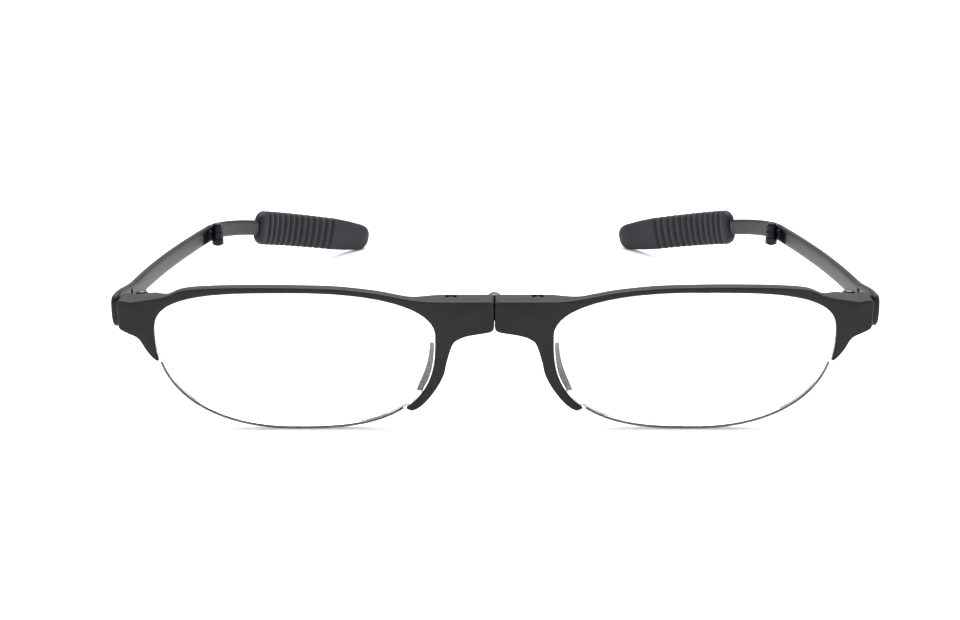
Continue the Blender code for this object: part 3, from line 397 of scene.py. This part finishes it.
def make_lens(side):
    """A lens: rings that shrink to the middle over the front sphere, cross the edge, which is bevelled in
    the rim and grooved where it is bare, and shrink again over the back sphere."""
    angles = even_angles(LUG_END, LUG_END + 360, LENS_POINTS + 1)[:-1]
    edge = lens_edge(angles)
    in_rim = smooth_step(angles, LUG_END, LUG_END + 3) * smooth_step(angles, NOSE_END, NOSE_END - 3)
    middle = np.array([LENS_X, LENS_MIDDLE])
    shares = np.concatenate([np.linspace(0.05, 0.95, 10), [0.985, 0.997]])
    flat = middle + (edge - middle) * shares[:, None, None]
    front = np.concatenate([flat[..., :1], lens_face(flat)[..., None], flat[..., 1:]], axis=-1)
    back = np.concatenate([flat[..., :1], lens_face(flat, back=True)[..., None], flat[..., 1:]], axis=-1)
    centre = edge_middle(edge)
    thick = lens_face(edge, back=True) - lens_face(edge)
    depth = np.array([-0.5, -0.47, -0.27, -0.2, -0.1, 0, 0.1, 0.2, 0.27, 0.47, 0.5])
    out = np.clip(1 - np.abs(depth) / 0.27, 0, 1)
    profile = np.where(in_rim > 0.5, in_rim, 0.0) * (BEVEL * out[:, None])
    profile -= GROOVE * np.sqrt(1 - (1 - out[:, None]) ** 2) * (1 - in_rim)
    profile -= (np.abs(depth) == 0.5)[:, None] * 0.06 * MM
    rims = np.stack([lens_edge(angles, row) for row in profile])
    walls = centre + depth[:, None] * thick
    wall = np.concatenate([rims[..., :1], walls[..., None], rims[..., 1:]], axis=-1)
    grid = np.concatenate([front, wall, back[::-1]])
    return add_skin(f"{WORDS[side]}_clear_lens", grid * (side, 1, 1), LENS_RESIN, 30.0)


def make_thread(side):
    """A round thread: a circle carried along the lens's edge from the nose arm to the lug."""
    angles = even_angles(NOSE_END + 1.5, LUG_END + 358.5, 220)
    path = lens_edge(angles, THREAD_CENTRE)
    outward = (lens_edge(angles, THREAD_CENTRE + MM) - path) / MM
    turn = np.arange(16) * math.pi / 8
    reach = THREAD_RADIUS * np.cos(turn)
    flat = path[:, None] + outward[:, None] * reach[:, None]
    depth = edge_middle(lens_edge(angles))[:, None] + THREAD_RADIUS * np.sin(turn)
    grid = np.stack([flat[..., 0], depth, flat[..., 1]], axis=-1)
    # The line's dark grey finish is painted shade of the groove it lies in.
    return add_skin(f"{WORDS[side]}_nylon_line", grid * (side, 1, 1), NYLON_LINE_PAINTED_SHADE, 60.0)


# ---------------------------------------------------------------- front

def outer_outline():
    """The left half's outer outline in X and Z, a smooth line from the lug's tip over the rim and the
    bridge to the nose arm's tip."""
    bottom = END_TOP - END_HEIGHT
    half_bridge = BRIDGE_WIDTH / 2
    seam = SEAM_GAP / 2
    lug = [lens_edge(LUG_END, 0.35 * MM), lens_edge(LUG_END + 1.5, 0.95 * MM),
           lens_edge(LUG_END + 5, 1.8 * MM)]
    end_piece = [(END_X - 3.2 * MM, bottom - 1.7 * MM), (END_X - 1.6 * MM, bottom - 0.8 * MM),
                 (END_X - 0.4 * MM, bottom - 0.15 * MM), (END_X, bottom + 0.5 * MM),
                 (END_X, END_Z), (END_X, END_TOP - 0.5 * MM), (END_X - 0.4 * MM, END_TOP),
                 (END_X - 1.4 * MM, END_TOP - 0.05 * MM), (END_X - 2.8 * MM, END_TOP - 0.2 * MM)]
    rim = [lens_edge(14.5, RIM_CORNER), lens_edge(20.0, RIM_CORNER * 0.95)]
    rim += [lens_edge(angle, RIM_FACE * share) for angle, share in
            ((29.0, 1.3), (48.0, 1.08), (90.0, 1.0), (132.0, 1.0), (153.0, 1.1))]
    bridge = [(half_bridge + 4.6 * MM, BRIDGE_TOP + 0.55 * MM),
              (half_bridge + 1.2 * MM, BRIDGE_TOP + 0.1 * MM),
              (half_bridge * 0.8, BRIDGE_TOP), (half_bridge * 0.5, BRIDGE_TOP),
              (half_bridge * 0.25, BRIDGE_TOP), (seam + 1.0 * MM, BRIDGE_TOP),
              (seam + 0.3 * MM, BRIDGE_TOP - 0.15 * MM), (seam, BRIDGE_TOP - 0.7 * MM),
              (seam, BRIDGE_Z), (seam, BRIDGE_BOTTOM + 0.9 * MM),
              (seam + 0.35 * MM, BRIDGE_BOTTOM + 0.2 * MM), (seam + 1.1 * MM, BRIDGE_BOTTOM - 0.05 * MM),
              (half_bridge * 0.42, BRIDGE_BOTTOM - 0.6 * MM), (half_bridge * 0.6, BRIDGE_BOTTOM - 1.3 * MM),
              (half_bridge * 0.7, BRIDGE_BOTTOM - 2.3 * MM)]
    nose_arm = [lens_edge(angle, NOSE_ARM_WIDTH * share) for angle, share in
                ((190.0, 1.0), (195.0, 0.96), (200.5, 0.82), (206.0, 0.72), (210.0, 0.66), (213.0, 0.5))]
    nose_arm.append(lens_edge(NOSE_END, 0.35 * MM))
    line = smooth_line(lug + end_piece + rim + bridge + nose_arm, OUTLINE_STEPS)
    line[:, 0] = np.maximum(line[:, 0], seam * 0.6)
    return line


def back_depth(outer):
    """Depth of the half at an outer point: deep at the bridge and the end piece, thin along the rim."""
    x, z = outer[:, 0], outer[:, 1]
    half_bridge = BRIDGE_WIDTH / 2
    at_bridge = smooth_step(x, half_bridge + 5 * MM, half_bridge - 1 * MM)
    at_bridge = at_bridge * smooth_step(z, BRIDGE_BOTTOM - 4.5 * MM, BRIDGE_BOTTOM - 1.5 * MM)
    at_end = smooth_step(x, END_X - 9 * MM, END_X - 5 * MM)
    at_end = at_end * smooth_step(z, END_TOP - END_HEIGHT - 4 * MM, END_TOP - END_HEIGHT - 1 * MM)
    return RIM_DEPTH + (BRIDGE_DEPTH - RIM_DEPTH) * at_bridge + (END_DEPTH - RIM_DEPTH) * at_end


def half_grid():
    """Sections of the left half, each from the lens's edge straight out to the outer outline: a front
    and a back face with rounded edges, a step down to the rim's depth, and a groove for the lens."""
    outline = outer_outline()
    fine = np.linspace(LUG_END - 5, NOSE_END + 5, EDGE_SAMPLES)
    edge = lens_edge(fine)
    nearest = np.argmin(np.linalg.norm(outline[:, None, :] - edge[None], axis=2), axis=1)
    facing = np.maximum.accumulate(fine[nearest])
    turning = (outline[:, 0] > END_X - 6 * MM) | (outline[:, 0] < BRIDGE_WIDTH / 2 + 2 * MM)
    turning &= outline[:, 1] > BRIDGE_BOTTOM - 3 * MM
    even = even_angles(facing[0], facing[-1], 200)
    angles = np.unique(np.round(np.concatenate([even, facing[turning][::4]]), 2))
    outer = np.stack([np.interp(angles, facing, outline[:, 0]), np.interp(angles, facing, outline[:, 1])],
                     axis=1)
    start = lens_edge(angles, LENS_GAP)
    reach = np.linalg.norm(outer - start, axis=1)
    along = (outer - start) / reach[:, None]
    deep = back_depth(outer)[:, None]
    front = (edge_middle(lens_edge(angles)) - RIM_DEPTH / 2)[:, None]
    turn = np.linspace(0, math.pi / 2, ROUND)
    bend, rest = np.sin(turn), 1 - np.cos(turn)
    reach = reach[:, None]
    soft = np.minimum(EDGE, reach * 0.3)
    step_in = np.minimum(STEP_START, reach * 0.45)
    step_out = np.minimum(STEP_START + STEP_RUN, reach * 0.6)
    fall = np.linspace(0, 1, 8)
    none = 0 * reach
    middle, half = RIM_DEPTH / 2, GROOVE * 0.85
    valley = np.where(reach > 2 * BEVEL, -BEVEL, 0.0)
    far = np.hstack([soft * rest, reach - soft + soft * bend, reach - soft * rest,
                     step_out + (step_in - step_out) * fall, soft - soft * bend, none, none + valley, none])
    depth = np.hstack([EDGE * (1 - bend) + none, EDGE * rest + none, deep - EDGE + EDGE * bend,
                       deep + (RIM_DEPTH - deep) * (fall * fall * (3 - 2 * fall)),
                       RIM_DEPTH - EDGE * rest + none, none + middle + half, none + middle,
                       none + middle - half])
    flat = start[:, None] + along[:, None] * far[..., None]
    flat[:, -2] = np.where(valley < 0, lens_edge(angles, LENS_GAP + BEVEL), start)
    return np.stack([flat[..., 0], front + depth, flat[..., 1]], axis=-1)


def pad_grid():
    """The nose pad: a thin fin that leaves the back of the nose arm and flares outwards as b^1.6."""
    share = np.linspace(0, 1, 40)
    size = np.sqrt(np.maximum(1 - (2 * share - 1) ** 4, 0.12))[:, None]
    angles = PAD_START + PAD_SPAN * share
    root = lens_edge(angles, NOSE_ARM_WIDTH * 0.5)
    y = edge_middle(lens_edge(angles))[:, None]
    turn = np.arange(40) * 2 * math.pi / 40
    back = 0.5 - 0.5 * np.sign(np.cos(turn)) * np.abs(np.cos(turn)) ** 0.8
    swing = np.sign(np.sin(turn)) * np.abs(np.sin(turn)) ** 0.5
    x = root[:, :1] + PAD_FLARE * back ** 1.6 + swing * PAD_THICKNESS / 2 * (1 - 0.4 * back)
    depth = y + 0.3 * MM + back * PAD_REACH * size
    z = np.broadcast_to(root[:, 1:], x.shape)
    return np.stack([x, depth, z], axis=-1)


def front_pockets():
    """Pockets of the left half: the bridge leaf's slot and screw bore, and the end leaf's slot."""
    back = FRONT_Y + BRIDGE_DEPTH
    flat = TONGUE_THICKNESS / 2 + SLOT_GAP
    top = BRIDGE_TOP - BRIDGE_Z
    seat = top - HEAD_HEIGHT - SCREW_SINK
    slot = block(np.array([KNUCKLE_RADIUS + HINGE_GAP, back - TONGUE_DEPTH - SLOT_GAP, BRIDGE_Z - flat]),
                 np.array([KNUCKLE_RADIUS + TONGUE_LENGTH + HINGE_GAP + 2 * SLOT_GAP, back + CUT_CLEAR,
                           BRIDGE_Z + flat]))
    bore = turned((SCREW_X, back - TONGUE_DEPTH / 2, BRIDGE_Z),
                  [(HEAD_RADIUS + PIN_GAP, seat), (HEAD_RADIUS + PIN_GAP, top + CUT_CLEAR)])
    end = FRONT_Y + END_DEPTH
    tall = LEAF_HEIGHT / 2 + SLOT_GAP
    thin = LEAF / 2 + SLOT_GAP
    end_slot = block(np.array([END_AXIS_X - thin, end - TONGUE_DEPTH - SLOT_GAP, END_Z - tall]),
                     np.array([END_AXIS_X + thin, end + CUT_CLEAR, END_Z + tall]))
    return [slot, bore, end_slot]


# ---------------------------------------------------------------- arms

def forward_path():
    """Control points of the forward arm's centre line, straight at the front and leaning in behind."""
    start = np.array([ARM_X, END_AXIS_Y - KNUCKLE_RADIUS - HINGE_GAP - ARM_OVERLAP, END_Z])
    end = np.array([ARM_X - MID_INSET, MID_HINGE_Y - ARM_GAP, END_Z - MID_DROP])
    run = end[1] - start[1]
    leave = end + (0.55 * MID_INSET, -0.3 * run, 0.45 * MID_DROP)
    return [start, start + (0, 0.38 * run, 0), leave, end]


def rear_path(tip_height):
    """Control points of the rear arm's centre line, curving in and down to the tip."""
    front = forward_path()
    along = (front[3] - front[2]) / np.linalg.norm(front[3] - front[2])
    start = front[3] + along * 2 * ARM_GAP
    end = np.array([ARM_X - TIP_INSET, ARM_LENGTH, tip_height])
    run = end[1] - start[1]
    arrive = end + (0.62 * (start[0] - end[0]), -0.34 * run, TIP_FALL)
    return [start, start + along * 0.25 * run, arrive, end]


def mid_pocket(way):
    """The recess for a mid-hinge leaf in the left arm's inner face, ahead of or behind the hinge."""
    path = forward_path()
    along = (path[3] - path[2]) / np.linalg.norm(path[3] - path[2])
    outward = np.cross(along, (0, 0, 1))
    outward = outward / np.linalg.norm(outward)
    centre = path[3] + along * ARM_GAP - outward * (ARM_THICKNESS / 2 + HINGE_GAP + KNUCKLE_RADIUS)
    turn = math.atan2(-along[0], along[1])
    face = KNUCKLE_RADIUS + HINGE_GAP
    tall = LEAF_HEIGHT / 2 + SLOT_GAP
    grid = block(np.array([face - MM, -way * MM, -tall]),
                 np.array([face + LEAF + 2 * SLOT_GAP, way * (LEAF_LENGTH + SLOT_GAP), tall]))
    spin = np.array([[math.cos(turn), -math.sin(turn), 0], [math.sin(turn), math.cos(turn), 0], [0, 0, 1]])
    return grid @ spin.T + (centre[0], centre[1], END_Z - MID_DROP)


def forward_grid():
    """The forward arm: a tall rounded front end beside the end piece, then a slim bar."""
    t = np.concatenate([[0.0, 0.0015, 0.004, 0.008, 0.013], np.linspace(0.02, 1.0, 90)])
    round_end = np.sqrt(1 - (1 - np.clip(t / 0.014, 0, 1)) ** 2)
    height = ARM_HEIGHT + (ARM_FRONT_HEIGHT - ARM_HEIGHT) * smooth_step(t, 0.2, 0.03)
    full = 0.5 + 0.5 * round_end
    return bar(forward_path(), t, height * full, ARM_THICKNESS * full, 1)


def rear_grid(tip_height):
    """The rear arm: a slim bar that ends inside the grip."""
    t = np.linspace(0.0, GRIP_START + 0.06, 60)
    height = np.where(t < GRIP_START, ARM_HEIGHT, ARM_HEIGHT * 0.7)
    thickness = np.where(t < GRIP_START, ARM_THICKNESS, ARM_THICKNESS * 0.7)
    return bar(rear_path(tip_height), t, height, thickness, 1)


def grip_grid(tip_height):
    """The grip along the rear path: a rounded collar, a row of ribs whose valleys are a cosine raised to
    a power, a smooth stretch, and a tip that narrows and rounds off."""
    s = np.concatenate([np.linspace(0, 0.03, 12)[:-1], np.linspace(0.03, 0.94, 420)[:-1],
                        1 - 0.06 * np.cos(np.linspace(0, math.pi / 2, 24)) ** 2])
    rise = np.interp(s, [0, 0.012, 0.03, 0.06, 0.70, 0.82, 0.92, 0.955, 1.0],
                     [0.66, 0.76, 0.90, 1.0, 1.0, 0.94, 0.83, 0.75, 0.66])
    thick = np.interp(s, [0, 0.012, 0.03, 0.06, 0.80, 0.92, 1.0], [0.66, 0.82, 0.96, 1.0, 1.0, 0.98, 0.84])
    for _ in range(3):
        rise[1:-1] = (rise[:-2] + 2 * rise[1:-1] + rise[2:]) / 4
        thick[1:-1] = (thick[:-2] + 2 * thick[1:-1] + thick[2:]) / 4
    phase = (s - RIBS_START) / (RIBS_END - RIBS_START) * RIB_COUNT
    ribbed = (s > RIBS_START) & (s < RIBS_END)
    valley = (0.5 + 0.5 * np.cos(2 * math.pi * (phase - 0.5))) ** 2.2 * ribbed
    past = s - (1 - TIP_SHARE)
    end = np.where(past > 0, np.sqrt(np.clip(1 - (past / TIP_SHARE) ** 2, 0.02, 1)), 1.0)
    mouth = np.sqrt(1 - (1 - np.clip(s / MOUTH_SHARE, 0, 1)) ** 2) * 0.25 + 0.75
    height = (GRIP_HEIGHT * rise - 2 * RIB_DEPTH * valley) * end * mouth
    thickness = (GRIP_THICKNESS * thick - 2 * RIB_DEPTH * valley) * end * mouth
    return bar(rear_path(tip_height), GRIP_START + (1 - GRIP_START) * s, height, thickness, 1, count=80)


def resting_tip_height():
    """Height of the tip's centre at which the grip just touches Z = 0."""
    height = TIP_HEIGHT / 2
    for _ in range(4):
        height -= grip_grid(height)[..., 2].min()
    return height


# ---------------------------------------------------------------- the pieces

WORDS = {1: "left", -1: "right"}
HALF, PAD, FRONT_POCKETS = half_grid(), pad_grid(), front_pockets()
TIP_Z = resting_tip_height()
END_FACE = ARM_X - ARM_THICKNESS / 2
LEAF_TALL = LEAF_HEIGHT / 2 + SLOT_GAP
END_POCKET = block(np.array([END_FACE - MM, END_AXIS_Y - 1.4 * MM - SLOT_GAP, END_Z - LEAF_TALL]),
                   np.array([END_FACE + LEAF + 2 * SLOT_GAP, END_AXIS_Y + LEAF_LENGTH + SLOT_GAP,
                             END_Z + LEAF_TALL]))
for side, word in WORDS.items():
    mirror = np.array((side, 1, 1))
    lens = make_lens(side)
    line = make_thread(side)
    half = add_skin(f"{word}_moulded_half", HALF * mirror, MOULDED_NYLON)
    cut(half, [grid * mirror for grid in FRONT_POCKETS])
    pad = add_skin(f"{word}_nose_pad", PAD * mirror, MOULDED_NYLON)
    front_bar = add_skin(f"{word}_front_bar", forward_grid() * mirror, MOULDED_NYLON)
    cut(front_bar, [END_POCKET * mirror, mid_pocket(-1) * mirror])
    rear_bar = add_skin(f"{word}_rear_bar", rear_grid(TIP_Z) * mirror, MOULDED_NYLON)
    cut(rear_bar, [mid_pocket(1) * mirror])
    grip = add_skin(f"{word}_ribbed_grip", grip_grid(TIP_Z) * mirror, SOFT_RUBBER, 50.0)
    for piece, body, slot, node in ((lens, "front", "lens", "lens"),
                                    (line, "front", "thread", "lens_thread"),
                                    (half, "front", "frame", "front_half"),
                                    (pad, "front", "frame", None),
                                    (front_bar, "arm", "frame", "forward_arm"),
                                    (rear_bar, "rear", "frame", "rear_arm"),
                                    (grip, "rear", "grip", "grip")):
        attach(piece, f"{word}_{body}")
        if node:
            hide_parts(f"{word}_{node}")

# The hinges' leaves, pins and screws stay as they are in the CAD, with their edges eased
EASED_EDGE, EASED_ANGLE, WELD_REACH = 0.06 * MM, 40, 0.002 * MM
for name, item in frame["nodes"].items():
    if item.hide_render:
        continue
    item.data.materials.clear()
    item.data.materials.append(TURNED_STEEL if "bridge" in name or "screw" in name else BLACK_STEEL)
    weld = item.modifiers.new("weld", "WELD")
    weld.merge_threshold = WELD_REACH
    ease = item.modifiers.new("eased_edges", "BEVEL")
    ease.width, ease.segments, ease.limit_method = EASED_EDGE, 2, "ANGLE"
    ease.angle_limit = math.radians(EASED_ANGLE)
    ease.use_clamp_overlap = True


# ---------------------------------------------------------------- floor, light and camera

FLOOR_GAP, FLOOR_REACH = 0.0001, 2.5    # metres below the glasses, and to each side of them
WORLD_LIGHT = 0.88
LIGHTS = (("overhead", (0.05, 0.30, 0.9), (0, 0, 0), 0.9, 15),
          ("left_soft", (-0.8, 0.1, 0.6), (0, 0, 0.01), 0.6, 3),
          ("right_soft", (0.8, 0.1, 0.5), (0, 0, 0.01), 0.6, 2.5))
CAMERA_PLACE = (-0.3 * MM, -290.9 * MM, 95.2 * MM)
CAMERA_TURN, CAMERA_PITCH, CAMERA_ROLL = 0.53, 17.7, -0.21   # degrees
SENSOR_MM, FOCAL_MM = 36.0, 53.96


def add_floor():
    """A plain sheet that runs flat under the glasses and sweeps up far behind them."""
    run = np.array([-1.2, 1.6, 2.0, 2.3, 2.45, 2.5, 2.5])
    rise = np.array([0, 0, 0.03, 0.16, 0.40, 0.9, 2.0]) - FLOOR_GAP
    across = np.array([-FLOOR_REACH, FLOOR_REACH])
    y, x = np.meshgrid(run, across, indexing="ij")
    z = np.broadcast_to(rise[:, None], y.shape)
    first = np.arange(len(run) - 1) * 2
    faces = np.stack([first, first + 1, first + 3, first + 2], axis=1)
    mesh = bpy.data.meshes.new("floor")
    mesh.from_pydata(np.stack([x, y, z], axis=-1).reshape(-1, 3), [], faces.tolist())
    mesh.shade_smooth()
    mesh.materials.append(PALE_FLOOR)
    item = bpy.data.objects.new("floor", mesh)
    bpy.context.scene.collection.objects.link(item)


def add_light(name, place, aim, size, watts):
    """A soft square light that faces a point."""
    lamp = bpy.data.lights.new(name, "AREA")
    lamp.size, lamp.energy = size, watts
    item = bpy.data.objects.new(name, lamp)
    bpy.context.scene.collection.objects.link(item)
    way = Vector(aim) - Vector(place)
    item.rotation_euler = way.to_track_quat("-Z", "Y").to_euler()
    item.location = place


add_floor()
for light in LIGHTS:
    add_light(*light)

world = bpy.data.worlds.new("studio")
world.use_nodes = True
world.node_tree.nodes["Background"].inputs["Color"].default_value = linear("#ffffff")
world.node_tree.nodes["Background"].inputs["Strength"].default_value = WORLD_LIGHT
bpy.context.scene.world = world
bpy.context.scene.view_settings.view_transform = "Standard"

camera_lens = bpy.data.cameras.new("camera")
camera_lens.sensor_width, camera_lens.lens = SENSOR_MM, FOCAL_MM
camera_lens.clip_start, camera_lens.clip_end = 0.01, 20
camera = bpy.data.objects.new("camera", camera_lens)
bpy.context.scene.collection.objects.link(camera)
camera.matrix_world = (Matrix.Translation(CAMERA_PLACE)
                       @ Matrix.Rotation(math.radians(CAMERA_TURN), 4, "Z")
                       @ Matrix.Rotation(math.radians(90 - CAMERA_PITCH), 4, "X")
                       @ Matrix.Rotation(math.radians(CAMERA_ROLL), 4, "Z"))
bpy.context.scene.camera = camera

bpy.context.view_layer.update()
